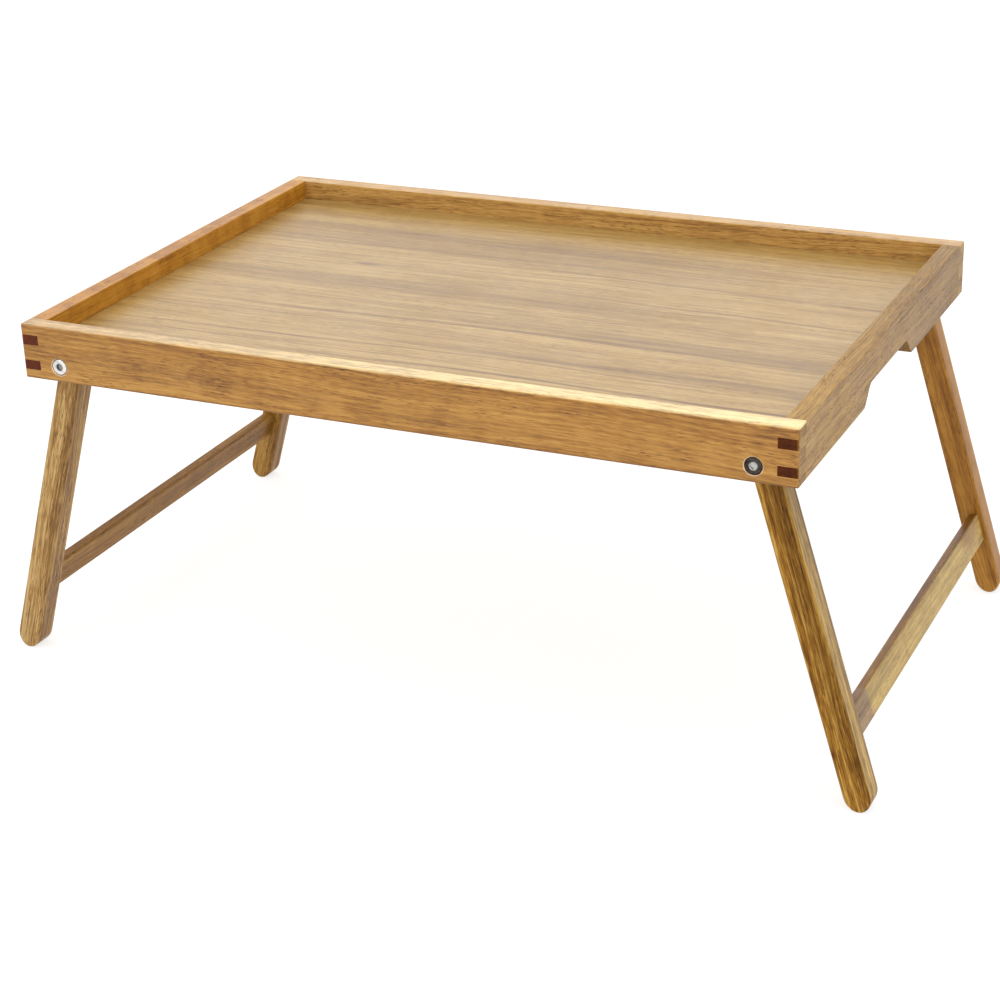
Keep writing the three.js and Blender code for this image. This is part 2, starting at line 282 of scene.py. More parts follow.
def polish(piece):
    """Smooth shading that keeps flat faces flat, and a mark on each vertex of an eased
    edge, which the materials read for wear."""
    bm = bmesh.new()
    bm.from_mesh(piece.data)
    bmesh.ops.remove_doubles(bm, verts=bm.verts, dist=MM / 1000)
    layer = bm.verts.layers.float.new("worn")
    slight, clear, sharp = (math.radians(angle) for angle in (12, 50, 34))
    for vertex in bm.verts:
        bends = [edge.calc_face_angle(0) for edge in vertex.link_edges]
        vertex[layer] = float(any(slight < bend < clear for bend in bends))
    bm.to_mesh(piece.data)
    bm.free()
    piece.data.shade_smooth()
    piece.data.set_sharp_from_angle(angle=sharp)
    weighted = piece.modifiers.new("flat faces", "WEIGHTED_NORMAL")
    weighted.keep_sharp = True
    return piece


# ---------------------------------------------------------------- materials


class Graph:
    """Short ways to add nodes to a tree and join them."""

    def __init__(self, tree):
        self.tree = tree

    def node(self, kind, inputs=(), **settings):
        """Adds a node. Its inputs are a list in socket order or a dict by socket name."""
        made = self.tree.nodes.new("ShaderNode" + kind)
        for name, value in settings.items():
            setattr(made, name, value)
        pairs = inputs.items() if isinstance(inputs, dict) else enumerate(inputs)
        for key, value in pairs:
            if isinstance(value, bpy.types.NodeSocket):
                self.tree.links.new(value, made.inputs[key])
            else:
                made.inputs[key].default_value = value
        return made

    def math(self, operation, *inputs, clamp=False):
        return self.node("Math", inputs, operation=operation, use_clamp=clamp).outputs[0]

    def vector(self, operation, *inputs):
        made = self.node("VectorMath", inputs, operation=operation)
        scalar = operation in ("LENGTH", "DOT_PRODUCT", "DISTANCE")
        return made.outputs["Value" if scalar else "Vector"]

    def noise(self, position, scale, detail=2.0, roughness=0.5):
        """Noise with its own scale along each axis."""
        stretched = self.vector("MULTIPLY", position, scale)
        inputs = {"Vector": stretched, "Scale": 1, "Detail": detail, "Roughness": roughness}
        return self.node("TexNoise", inputs).outputs["Fac"]

    def ramp(self, value, low, high, start=0.0, end=1.0):
        """Goes smoothly from start to end as value goes from low to high."""
        inputs = [value, low, high, start, end]
        return self.node("MapRange", inputs, interpolation_type="SMOOTHSTEP").outputs[0]

    def mix(self, factor, first, second, blend_type="MIX"):
        inputs = {0: factor, 6: first, 7: second}
        made = self.node("Mix", inputs, data_type="RGBA", blend_type=blend_type)
        return made.outputs[2]

    def scaled(self, value, weight):
        """A value that varies about 0.5, as one that varies about 0 by that weight."""
        return self.math("MULTIPLY", self.math("SUBTRACT", value, 0.5), weight)

    def total(self, *values):
        result = values[0]
        for value in values[1:]:
            result = self.math("ADD", result, value)
        return result


def wood_tree():
    """The grain of a board. Its Position runs along the grain in X."""
    tree = bpy.data.node_groups.new("wood", "ShaderNodeTree")
    for name, kind in (
        ("Position", "Vector"), ("Normal", "Vector"), ("Tone", "Float"),
        ("Dark", "Color"), ("Middle", "Color"), ("Light", "Color"),
        ("Bands", "Float"), ("Streaks", "Float"), ("Fibres", "Float"), ("Figure", "Float"),
        ("Pores", "Float"), ("Rings", "Float"), ("End Grain", "Color"),
    ):
        tree.interface.new_socket(name, in_out="INPUT", socket_type="NodeSocket" + kind)
    for name, kind in (
        ("Color", "Color"), ("Grain", "Float"), ("Roughness", "Float"), ("Height", "Float"),
    ):
        tree.interface.new_socket(name, in_out="OUTPUT", socket_type="NodeSocket" + kind)
    graph = Graph(tree)
    given = tree.nodes.new("NodeGroupInput").outputs

    # The grain wanders a little from side to side
    wander = graph.node("TexNoise", {
        "Vector": graph.vector("MULTIPLY", given["Position"], (5, 11, 11)),
        "Scale": 1, "Detail": 2,
    }).outputs["Color"]
    sideways = graph.vector("MULTIPLY", graph.vector("SUBTRACT", wander, (0.5,) * 3),
                            (0, 0.012, 0.012))
    position = graph.vector("ADD", given["Position"], sideways)

    # Wide bands, streaks, lines and fibres, each finer and shorter than the last, and a
    # mottled figure
    bands = graph.noise(position, (1.6, 62, 62), 2)
    streaks = graph.noise(position, (3.5, 230, 230), 3, 0.6)
    lines = graph.noise(position, (16, 720, 720), 2, 0.6)
    fibres = graph.noise(position, (110, 1300, 1300), 2)
    figure = graph.noise(given["Position"], (70, 38, 38), 3, 0.6)

    # Growth rings about the tree's heart, which lies off the board
    from_heart = graph.vector("ADD", position, (0, 0.045, 0.03))
    radius = graph.vector("LENGTH", graph.vector("MULTIPLY", from_heart, (0.03, 1, 1)))
    rings_per_metre = 260
    ring = graph.math("FRACT", graph.math("MULTIPLY", radius, rings_per_metre))
    late = graph.math("MULTIPLY", graph.ramp(ring, 0.15, 0.85), graph.ramp(ring, 1, 0.93))

    # Pores: fine dark dashes, in drifts
    cells = graph.node("TexVoronoi", {
        "Vector": graph.vector("MULTIPLY", position, (130, 1250, 1250)), "Scale": 1,
    }).outputs["Distance"]
    drifts = graph.ramp(graph.noise(position, (12, 160, 160), 2), 0.42, 0.62)
    pores = graph.math("MULTIPLY", graph.ramp(cells, 0.34, 0.16), drifts)

    tone = graph.total(
        given["Tone"],
        graph.scaled(bands, given["Bands"]),
        graph.scaled(streaks, given["Streaks"]),
        graph.scaled(lines, given["Fibres"]),
        graph.scaled(fibres, given["Fibres"]),
        graph.scaled(figure, given["Figure"]),
        graph.math("MULTIPLY", late, graph.math("MULTIPLY", given["Rings"], -1)),
    )
    lower = graph.math("MULTIPLY", tone, 2, clamp=True)
    upper = graph.math("SUBTRACT", graph.math("MULTIPLY", tone, 2), 1, clamp=True)
    color = graph.mix(upper, graph.mix(lower, given["Dark"], given["Middle"]), given["Light"])
    pore_depth = graph.math("MULTIPLY", pores, given["Pores"])
    color = graph.mix(pore_depth, color, (0.32, 0.24, 0.18, 1), "MULTIPLY")

    # End grain has a tint of its own, and eased edges are rubbed paler
    along = graph.math("ABSOLUTE", graph.node("SeparateXYZ", [given["Normal"]]).outputs["X"])
    end = graph.ramp(along, 0.55, 0.85)
    color = graph.mix(end, color, graph.mix(1.0, color, given["End Grain"], "MULTIPLY"))
    worn = graph.node("Attribute", attribute_name="worn").outputs["Fac"]
    patchy = graph.ramp(graph.noise(given["Position"], (60, 60, 60), 3), 0.4, 0.65)
    rubbed = graph.math("MULTIPLY", worn, graph.math("MULTIPLY", patchy, 0.32))
    color = graph.mix(rubbed, color, given["Light"])

    smudges = graph.noise(given["Position"], (22, 22, 22), 3)
    roughness = graph.total(
        0.36,
        graph.scaled(smudges, 0.16),
        graph.scaled(fibres, 0.14),
        graph.math("MULTIPLY", pore_depth, 0.2),
        graph.math("MULTIPLY", end, 0.22),
        graph.math("MULTIPLY", rubbed, -0.25),
    )
    height = graph.total(
        graph.scaled(fibres, 0.5),
        graph.scaled(lines, 0.7),
        graph.scaled(figure, 0.35),
        graph.math("MULTIPLY", pore_depth, -0.9),
        graph.math("MULTIPLY", late, 0.12),
    )
    # How light the grain is where a stain, painted light or painted shade takes the colour's place
    grain = graph.math("ADD", graph.math("MULTIPLY", tone, 0.9), 0.55)
    grain = graph.math("SUBTRACT", grain, graph.math("MULTIPLY", pore_depth, 0.4))
    result = tree.nodes.new("NodeGroupOutput").inputs
    for name, value in (
        ("Color", color), ("Grain", grain), ("Roughness", roughness), ("Height", height),
    ):
        tree.links.new(value, result[name])
    return tree


def spot(graph, position, centre, size, core):
    """1 in the core of an ellipsoid, falling to 0 at its surface. size holds the half
    axes, and core is the core's share of them."""
    away = graph.vector("DIVIDE", graph.vector("SUBTRACT", position, centre), size)
    return graph.ramp(graph.vector("LENGTH", away), 1, core)


# Turns that bring a board's long direction to X
GRAIN_X = (0, 0, 0)
GRAIN_Y = (0, 0, -math.pi / 2)
GRAIN_Z = (0, math.pi / 2, 0)
WOOD = wood_tree()
TURNING_MARKS = 9000  # rings a metre on turned metal


def wood(name, grain, seed, colors, weights, end_grain, gloss, slant=0.0, tone=None,
         stains_and_painted_light=()):
    """One board's material. grain turns the board's long direction to X, colors are the
    dark, middle and light tones, and weights say how strong the bands, streaks, fibres,
    figure, pores and rings are. end_grain multiplies the colour on the board's ends.
    gloss is the specular level. slant turns the grain out of the board's line. tone is a
    function that adds nodes for a tone of the board's own. The last argument holds stains
    and painted light and shade, each as (centre, size, core, colour, strength), in the
    piece's own axes."""
    material = bpy.data.materials.new(name)
    material.use_nodes = True
    graph = Graph(material.node_tree)
    shader = material.node_tree.nodes["Principled BSDF"]
    place = graph.node("TexCoord")
    turn = (grain[0], grain[1] + slant, grain[2])
    position = graph.node("Mapping", {
        "Vector": place.outputs["Object"], "Location": seed, "Rotation": turn,
    }).outputs[0]
    normal = graph.node("Mapping", {
        "Vector": place.outputs["Normal"], "Rotation": grain,
    }, vector_type="VECTOR").outputs[0]
    names = ("Bands", "Streaks", "Fibres", "Figure", "Pores", "Rings")
    dark, middle, light = [(*color, 1) for color in colors]
    board = graph.node("Group", node_tree=WOOD)
    inputs = {
        "Position": position, "Normal": normal, "Dark": dark, "Middle": middle,
        "Light": light, "End Grain": (*end_grain, 1),
        "Tone": tone(graph, place.outputs["Object"]) if tone else 0.5,
        **dict(zip(names, weights)),
    }
    for socket, value in inputs.items():
        if isinstance(value, bpy.types.NodeSocket):
            graph.tree.links.new(value, board.inputs[socket])
        else:
            board.inputs[socket].default_value = value
    color = board.outputs["Color"]
    # Stains, painted light and painted shade, each over the grain
    for centre, size, core, shade, strength in stains_and_painted_light:
        amount = spot(graph, place.outputs["Object"], centre, size, core)
        patch_color = graph.vector("MULTIPLY", shade, board.outputs["Grain"])
        color = graph.mix(graph.math("MULTIPLY", amount, strength), color, patch_color)
    height = board.outputs["Height"]
    bump = graph.node("Bump", {"Strength": 0.5, "Distance": 0.12 * MM, "Height": height})
    graph.tree.links.new(color, shader.inputs["Base Color"])
    graph.tree.links.new(board.outputs["Roughness"], shader.inputs["Roughness"])
    graph.tree.links.new(bump.outputs[0], shader.inputs["Normal"])
    shader.inputs["IOR"].default_value = 1.5
    shader.inputs["Specular IOR Level"].default_value = gloss
    return material


def metal(name, color, dull, roughness, middle=None):
    """Turned metal: fine rings round the Y axis, with duller patches, and, if middle is
    given, another colour painted in the socket and round it, in place of its light and shade."""
    material = bpy.data.materials.new(name)
    material.use_nodes = True
    graph = Graph(material.node_tree)
    shader = material.node_tree.nodes["Principled BSDF"]
    place = graph.node("TexCoord").outputs["Object"]
    radius = graph.vector("LENGTH", graph.vector("MULTIPLY", place, (1, 0, 1)))
    turning = graph.node("TexNoise", {
        "W": graph.math("MULTIPLY", radius, TURNING_MARKS), "Scale": 1, "Detail": 2,
    }, noise_dimensions="1D").outputs["Fac"]
    patches = graph.noise(place, (420, 420, 420), 3)
    shade = graph.mix(graph.ramp(patches, 0.35, 0.7), (*color, 1), (*dull, 1))
    # The middle colour is painted in place of the socket's light and shade
    if middle:
        inside = graph.ramp(radius, SOCKET_SHADE_RADIUS, SOCKET_SHADE_RADIUS * 0.85)
        shade = graph.mix(inside, shade, (*middle, 1))
    wear = graph.total(roughness, graph.scaled(turning, 0.16), graph.scaled(patches, 0.2))
    bump = graph.node("Bump", {"Strength": 0.35, "Distance": 0.02 * MM, "Height": turning})
    graph.tree.links.new(shade, shader.inputs["Base Color"])
    graph.tree.links.new(wear, shader.inputs["Roughness"])
    graph.tree.links.new(bump.outputs[0], shader.inputs["Normal"])
    shader.inputs["Metallic"].default_value = 1
    return material


# Streaks of the panel's veneer: distance from the front rail, half width, darkness, and
# how far along the tray the streak is strongest, all but the darkness in millimetres
VENEER_STREAKS = (
    (24, 0.8, 0.22, -120),
    (39, 1.6, 0.50, 110),
    (49, 0.9, 0.26, -60),
    (62, 1.6, 0.45, 0),
    (71, 8.0, 0.32, 190),
    (84, 0.9, 0.24, 40),
    (98, 0.8, 0.26, -160),
    (111, 2.6, 0.46, 0),
    (120, 12.0, 0.24, 210),
    (134, 0.9, 0.26, -110),
    (146, 1.0, 0.22, 90),
    (168, 16.0, 0.30, -40),
    (185, 2.0, 0.28, 150),
    (199, 0.9, 0.22, -150),
    (211, 0.9, 0.24, 30),
    (226, 2.0, 0.26, 120),
    (243, 1.0, 0.20, -60),
    (262, 28.0, 0.26, -60),
    (281, 1.0, 0.24, 60),
    (300, 1.2, 0.22, -40),
)
VENEER_BOW = 9 * MM  # how much farther back a streak lies at the tray's middle than at its ends
VENEER_WAVER = 14 * MM  # how strongly a streak wanders from side to side
STREAK_REACH = 300 * MM  # from a streak's strongest place to where it has faded away
PLAIN_VENEER = 0.65  # tone between the streaks


def veneer_tone(graph, position):
    """The panel's own tone: a pale sheet with long, slightly bowed streaks."""
    x, y, _ = graph.node("SeparateXYZ", [position]).outputs
    from_middle = graph.math("MULTIPLY", x, 1 / HALF_LENGTH)
    bow = graph.math("MULTIPLY", graph.math("POWER", from_middle, 2), VENEER_BOW)
    waver = graph.scaled(graph.noise(position, (6, 9, 9), 2), VENEER_WAVER)
    across = graph.total(graph.math("ADD", y, INNER_Y), bow, waver)
    tone = PLAIN_VENEER
    for place, half_width, darkness, along in VENEER_STREAKS:
        aside = graph.math("ABSOLUTE", graph.math("SUBTRACT", across, place * MM))
        dark = graph.ramp(aside, half_width * MM, half_width * MM * 0.5, 0, darkness)
        beyond = graph.math("ABSOLUTE", graph.math("SUBTRACT", x, along * MM))
        fade = graph.ramp(beyond, STREAK_REACH, STREAK_REACH * 0.2)
        tone = graph.math("SUBTRACT", tone, graph.math("MULTIPLY", dark, fade))
    return tone


# Tones of the wood: dark, middle and light, as linear red, green and blue. The single
# colours after them are for stains, painted light and shade, and end grain.
HONEY = ((0.17, 0.062, 0.008), (0.345, 0.153, 0.022), (0.49, 0.255, 0.054))
GOLDEN = ((0.26, 0.120, 0.028), (0.51, 0.280, 0.072), (0.63, 0.39, 0.120))
AMBER = ((0.26, 0.094, 0.008), (0.47, 0.200, 0.018), (0.61, 0.31, 0.045))
DUN = ((0.18, 0.080, 0.014), (0.35, 0.192, 0.042), (0.46, 0.285, 0.080))
STRIPED = ((0.12, 0.044, 0.003), (0.31, 0.142, 0.016), (0.54, 0.33, 0.075))
ASHEN = ((0.15, 0.070, 0.018), (0.31, 0.165, 0.045), (0.50, 0.33, 0.130))
UMBER = ((0.12, 0.046, 0.005), (0.24, 0.110, 0.017), (0.37, 0.20, 0.045))
VENEER = ((0.17, 0.085, 0.019), (0.32, 0.183, 0.041), (0.50, 0.325, 0.108))
BEECH = ((0.45, 0.28, 0.12), (0.62, 0.43, 0.22), (0.74, 0.56, 0.34))
SAPWOOD_AND_SHEEN = (0.76, 0.60, 0.25)
SHEEN_STRAW = (0.56, 0.40, 0.14)
HEARTWOOD = (0.115, 0.044, 0.002)
RIM_SAPWOOD_AND_TOP_LIGHT = (0.92, 0.69, 0.33)
SEAT_HIGHLIGHT = (0.80, 0.58, 0.40)
KNOT = (0.10, 0.045, 0.012)
DARK_END = (0.22, 0.08, 0.0)
PALE_END = (0.80, 0.92, 1.3)

# How strong the bands, streaks, fibres, figure, pores and rings of a board are
RAIL_GRAIN = (0.8, 0.9, 1.25, 0.4, 1.0, 0.10)
MOTTLED_GRAIN = (0.9, 0.8, 0.8, 1.1, 0.8, 0.05)
STRIPED_GRAIN = (1.2, 2.4, 1.5, 0.4, 1.0, 0.06)
PLAIN_GRAIN = (1.2, 1.1, 0.9, 0.5, 0.9, 0.05)
VENEER_GRAIN = (0.45, 0.8, 0.9, 0.2, 0.5, 0.0)

# Stains and painted light and shade: centre, half axes, core, colour and strength. Those of a
# leg or a stretcher are in the leg frame's own axes.
EVERYWHERE = 9  # a half axis that reaches past every piece
# Partly sapwood, partly painted light: the front rail's top face painted pale, as if lit from above
RIM_STRIP = (
    (0.20, -(HALF_WIDTH + INNER_Y) / 2, RIM_Z), (0.66, 0.02, 0.0016), 0.2, RIM_SAPWOOD_AND_TOP_LIGHT, 0.8,
)
# Painted shade: a dark brown line along the front rail's bottom edge
PAINTED_LOW_EDGE_SHADE = (
    (0, -HALF_WIDTH, RAIL_BOTTOM_Z), (EVERYWHERE, 0.005, 0.0018), 0.2, (0.15, 0.052, 0.006), 0.7,
)
FAR_END = (
    (HALF_LENGTH, HALF_WIDTH, RIM_Z), (0.06, 0.30, 0.2), 0.15, (0.22, 0.115, 0.025), 0.55,
)
PANEL_KNOT = ((-0.121, 0.038, panel_high.z), (0.016, 0.0040, 0.01), 0.2, KNOT, 0.72)
# Partly sapwood, partly painted sheen: the leg's outer edge and outer side face painted paler
SAP_AND_SHEEN_SIDE = ((0.0150, 0, -0.10), (0.0075, EVERYWHERE, EVERYWHERE), 0.7, SAPWOOD_AND_SHEEN, 0.85)
DARK_HEART = ((0.0030, 0, -0.02), (0.0090, EVERYWHERE, 0.28), 0.3, HEARTWOOD, 0.6)
LEG_KNOT = ((0.0105, -0.1510, -0.058), (0.004, 0.0020, 0.0045), 0.2, KNOT, 0.8)
# Painted sheen: the stretcher's outer face painted paler than its top
PAINTED_SHEEN_FACE = ((0.0120, 0, -0.170), (0.0085, EVERYWHERE, EVERYWHERE), 0.8, SHEEN_STRAW, 0.7)
GREY_PATCH = ((0.006, -0.133, -0.170), (0.03, 0.019, 0.03), 0.7, (0.27, 0.165, 0.10), 0.8)
RED_PATCH = ((0.006, 0.120, -0.160), (0.03, 0.030, 0.02), 0.4, (0.20, 0.075, 0.010), 0.6)


def seat_highlights(end):
    """Painted highlight: a pale ring on the chamfer round the bolt seats of one long rail."""
    size = (6.1 * MM, 3 * MM, 6.1 * MM)
    return [
        ((side * PIVOT_X, end * HALF_WIDTH, PIVOT_Z), size, 0.9, SEAT_HIGHLIGHT, 0.75)
        for side in SIDES.values()
    ]


finishes = {
    "front_rail": wood("front_rail_wood", GRAIN_X, (0.31, 0.12, 0.43), HONEY, RAIL_GRAIN,
                       PALE_END, 0.4, slant=-0.02,
                       stains_and_painted_light=[*seat_highlights(-1), RIM_STRIP, PAINTED_LOW_EDGE_SHADE]),
    "back_rail": wood("back_rail_wood", GRAIN_X, (0.77, 0.52, 0.13), GOLDEN, RAIL_GRAIN,
                      PALE_END, 0.4, slant=0.015, stains_and_painted_light=seat_highlights(1)),
    "left_rail": wood("left_rail_wood", GRAIN_Y, (0.21, 0.91, 0.36), AMBER, MOTTLED_GRAIN,
                      DARK_END, 0.2),
    "right_rail": wood("right_rail_wood", GRAIN_Y, (0.58, 0.27, 0.74), DUN, RAIL_GRAIN,
                       DARK_END, 0.12, stains_and_painted_light=[FAR_END]),
    "tray_panel": wood("panel_veneer_wood", GRAIN_X, (0.15, 0.66, 0.92), VENEER, VENEER_GRAIN,
                       PALE_END, 0.62, tone=veneer_tone, stains_and_painted_light=[PANEL_KNOT]),
    "left_stretcher": wood("left_stretcher_wood", GRAIN_Y, (0.42, 0.18, 0.25), UMBER,
                           PLAIN_GRAIN, DARK_END, 0.15),
    "right_stretcher": wood("right_stretcher_wood", GRAIN_Y, (0.83, 0.39, 0.61), UMBER,
                            PLAIN_GRAIN, DARK_END, 0.12,
                            stains_and_painted_light=[PAINTED_SHEEN_FACE, GREY_PATCH, RED_PATCH]),
    "left_front_leg": wood("left_front_leg_wood", GRAIN_Z, (0.11, 0.33, 0.27), ASHEN,
                           STRIPED_GRAIN, DARK_END, 0.18, slant=0.01),
    "left_back_leg": wood("left_back_leg_wood", GRAIN_Z, (0.67, 0.21, 0.49), UMBER,
                          STRIPED_GRAIN, DARK_END, 0.18),
    "right_front_leg": wood("right_front_leg_wood", GRAIN_Z, (0.93, 0.57, 0.08), STRIPED,
                            STRIPED_GRAIN, DARK_END, 0.12, slant=-0.012,
                            stains_and_painted_light=[DARK_HEART, SAP_AND_SHEEN_SIDE, LEG_KNOT]),
    "right_back_leg": wood("right_back_leg_wood", GRAIN_Z, (0.37, 0.74, 0.66), HONEY,
                           PLAIN_GRAIN, DARK_END, 0.18, slant=0.01),
    "dowel": wood("dowel_beech", GRAIN_Y, (0.5, 0.1, 0.9), BEECH, PLAIN_GRAIN, PALE_END, 0.3),
    # Painted reflections: the head painted dark and the socket painted bright
    "right_front_pivot_bolt": metal("bolt_steel_painted_reflection", (0.07, 0.06, 0.052),
                                    (0.03, 0.025, 0.021), 0.3, middle=(0.50, 0.49, 0.47)),
    # Painted shade: the socket painted dark
    "pivot_bolt": metal("bolt_steel_turned", (0.78, 0.77, 0.75), (0.55, 0.54, 0.52), 0.3,
                        middle=(0.30, 0.29, 0.28)),
    "spacer_washer": metal("washer_steel_turned", (0.66, 0.65, 0.63), (0.45, 0.44, 0.42),
                           0.36),
    "threaded_insert": metal("insert_brass_turned", (0.62, 0.44, 0.17), (0.38, 0.25, 0.09),
                             0.38),
}


def settle(piece, node, finish, place=Matrix()):
    """Gives a finished piece its material, its place, its body and its slot, and puts it
    in its CAD node's stead."""
    record = frame["record"]
    bodies = record["behaviour"]["bodies"]
    piece.data.materials.clear()
    piece.data.materials.append(finish)
    piece.matrix_world = place
    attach(piece, next(body for body, members in bodies.items() if node in members))
    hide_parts(node)


# ---------------------------------------------------------------- tray


def finger_lines():
    """Heights of the lines between the fingers of the corner joints, from the top down.
    Each is halfway between the faces of the two rails that meet there."""
    def heights(node, at_end):
        vertices = frame["nodes"][node].data.vertices
        return sorted({round(v.co.z, 5) for v in vertices if at_end(v.co)}, reverse=True)
    front = heights("front_rail", lambda point: point.x > HALF_LENGTH - SAME_PLACE)
    right = heights("right_rail", lambda point: point.y < SAME_PLACE - HALF_WIDTH)
    return [(a + b) / 2 for a, b in zip(front[1:-1], right)]


def notch_outline():
    """The handle notch in Y and Z: a flat ceiling, and on each side a fillet, a slope and
    a rounded mouth."""
    ceiling = RAIL_BOTTOM_Z + NOTCH_DEPTH
    mouth = NOTCH_WIDTH / 2
    tangent = math.tan(NOTCH_SLOPE / 2)
    inner = (mouth - NOTCH_DEPTH / math.tan(NOTCH_SLOPE) - NOTCH_INNER_RADIUS * tangent,
             ceiling - NOTCH_INNER_RADIUS)
    outer = (mouth + NOTCH_MOUTH_RADIUS * tangent, RAIL_BOTTOM_Z + NOTCH_MOUTH_RADIUS)
    up = math.pi / 2
    mouth_arc = arc(outer, (NOTCH_MOUTH_RADIUS,) * 2, -up, -up - NOTCH_SLOPE, 10)
    inner_arc = arc(inner, (NOTCH_INNER_RADIUS,) * 2, up - NOTCH_SLOPE, up, 10)
    half = [Vector((outer[0], RAIL_BOTTOM_Z - CUT)), *mouth_arc, *inner_arc]
    return half + [Vector((-point.x, point.y)) for point in reversed(half)]


def tray_blank():
    """The four rails as one solid, before the corner joints part them."""
    corners = rounded(rectangle(HALF_LENGTH, HALF_WIDTH), CORNER_RADIUS)
    blank = swept("tray_blank", corners, along_z, RAIL_BOTTOM_Z, RIM_Z, RAIL_EASE)
    opening = rectangle(INNER_X, INNER_Y)
    tools = [swept("opening", opening, along_z, RAIL_BOTTOM_Z, RIM_Z, RAIL_EASE, cutter=True)]
    groove = (panel_high.x + GROOVE_CLEARANCE, panel_high.y + GROOVE_CLEARANCE)
    tools.append(block(
        "groove",
        (-groove[0], -groove[1], panel_low.z - GROOVE_CLEARANCE),
        (groove[0], groove[1], panel_high.z - TONGUE_REBATE + GROOVE_CLEARANCE),
    ))
    notch = notch_outline()
    seat_floor = HALF_WIDTH - BOLT_SINK - BOLT_HEAD_HEIGHT
    for name, side in SIDES.items():
        low, high = sorted((side * INNER_X, side * HALF_LENGTH))
        tools.append(swept("notch", notch, along_x, low, high, RAIL_EASE, cutter=True))
        pivot = PIVOTS[f"{name}_frame"]
        for end in ENDS.values():
            profile = [
                (SEAT_RADIUS + SEAT_CHAMFER + CUT, HALF_WIDTH + CUT),
                (SEAT_RADIUS, HALF_WIDTH - SEAT_CHAMFER),
                (SEAT_RADIUS, seat_floor),
                (BORE_RADIUS, seat_floor),
                (BORE_RADIUS, INNER_Y - CUT),
            ]
            profile = [(radius, end * y) for radius, y in profile]
            tools.append(turned("bore", profile, pivot.x, pivot.z))
    return combine(blank, tools, "DIFFERENCE")


def rail_region(rail, lines):
    """The space of one rail: between the rails beside it, with its own joint fingers. A
    long rail has the first finger from the top, and every other one after it."""
    long_rail = rail in ("front_rail", "back_rail")
    sign = -1 if rail in ("front_rail", "left_rail") else 1
    edges = [RIM_Z + CUT, *lines, RAIL_BOTTOM_Z - CUT]
    first = 0 if long_rail else 1
    # Half length and inner face of this rail, and the inner face of those beside it
    reach = (HALF_LENGTH if long_rail else HALF_WIDTH) + CUT
    inner = INNER_Y if long_rail else INNER_X
    beside = INNER_X if long_rail else INNER_Y
    outer = (HALF_WIDTH if long_rail else HALF_LENGTH) + CUT

    def box(name, along, across, heights):
        low, high = sorted(sign * value for value in across)
        if long_rail:
            return block(name, (along[0], low, heights[0]), (along[1], high, heights[1]))
        return block(name, (low, along[0], heights[0]), (high, along[1], heights[1]))

    middle = beside - JOINT_GAP
    region = box("region", (-middle, middle), (inner - CUT, outer), (edges[-1], edges[0]))
    fingers = []
    for top, bottom in list(zip(edges, edges[1:]))[first::2]:
        heights = (bottom + JOINT_GAP, top - JOINT_GAP)
        for low, high in ((-reach, CUT - beside), (beside - CUT, reach)):
            fingers.append(box("finger", (low, high), (inner + JOINT_GAP, outer), heights))
    return combine(region, fingers, "UNION")


blank = tray_blank()
lines = finger_lines()
for rail in ("front_rail", "back_rail", "left_rail", "right_rail"):
    piece = bpy.data.objects.new(rail + "_finished", blank.data.copy())
    bpy.context.scene.collection.objects.link(piece)
    combine(piece, [rail_region(rail, lines)], "INTERSECT")
    settle(polish(piece), rail, finishes[rail])
bpy.data.objects.remove(blank)


# ---------------------------------------------------------------- leg frames


def middle_corner(before, corner, after, radius, steps):
    """The arc that rounds one corner of a path."""
    each = steps + 1
    return rounded([before, corner, after], radius, steps)[each:2 * each]


def leg_outline(side, half_depth, reach):
    """The leg in X and Z: round at the top towards the tray's middle, cut level on the
    outer side, and ending in a half ellipse."""
    level = half_depth * (1 - math.sin(SPLAY)) / math.cos(SPLAY)
    crown = arc((0, 0), (half_depth,) * 2, math.pi, math.pi / 2 - SPLAY, 24)
    # The level cut meets the leg's outer side at a small rounded corner
    corner = Vector((half_depth, level))
    down = Vector((half_depth, -reach / 2))
    shape = middle_corner(crown[-1], corner, down, LEG_CORNER_RADIUS, 6)
    foot_centre = FOOT_ROUNDING - reach
    foot = arc((0, foot_centre), (half_depth, FOOT_ROUNDING), 0, -math.pi, 32)
    return [Vector((side * point.x, point.y)) for point in [*crown, *shape, *foot]]


def own_box(node, place):
    """Lowest and highest corner of a CAD node, in a leg frame's own axes."""
    back = place.inverted()
    points = [back @ vertex.co for vertex in frame["nodes"][node].data.vertices]
    return Vector(map(min, zip(*points))), Vector(map(max, zip(*points)))


def grown_pin(name, low, high):
    """A cutter for a dowel's hole, from the dowel's box."""
    radius = (high.x - low.x) / 2 + PIN_CLEARANCE
    middle = (low + high) / 2
    ends = (low.y - PIN_CLEARANCE, high.y + PIN_CLEARANCE)
    return turned(name, [(radius, y) for y in ends], middle.x, middle.z)


def leg(at, side, end, place):
    """A leg with its holes for two dowels and its pocket for the insert."""
    low, high = own_box(f"{at}_leg", place)
    outline = leg_outline(side, (high.x - low.x) / 2, -low.z)
    piece = swept(f"{at}_leg_finished", outline, along_y, low.y, high.y, LEG_EASE)
    tools = []
    for level in ("lower", "upper"):
        tools.append(grown_pin("hole", *own_box(f"{at}_{level}_dowel", place)))
    insert_low, insert_high = own_box(f"{at}_threaded_insert", place)
    radius = (insert_high.x - insert_low.x) / 2 + PIN_CLEARANCE
    mouth, floor = (low.y - CUT, insert_high.y) if end < 0 else (high.y + CUT, insert_low.y)
    tools.append(turned("pocket", [(radius, mouth), (radius, floor - end * PIN_CLEARANCE)]))
    return combine(piece, tools, "DIFFERENCE")


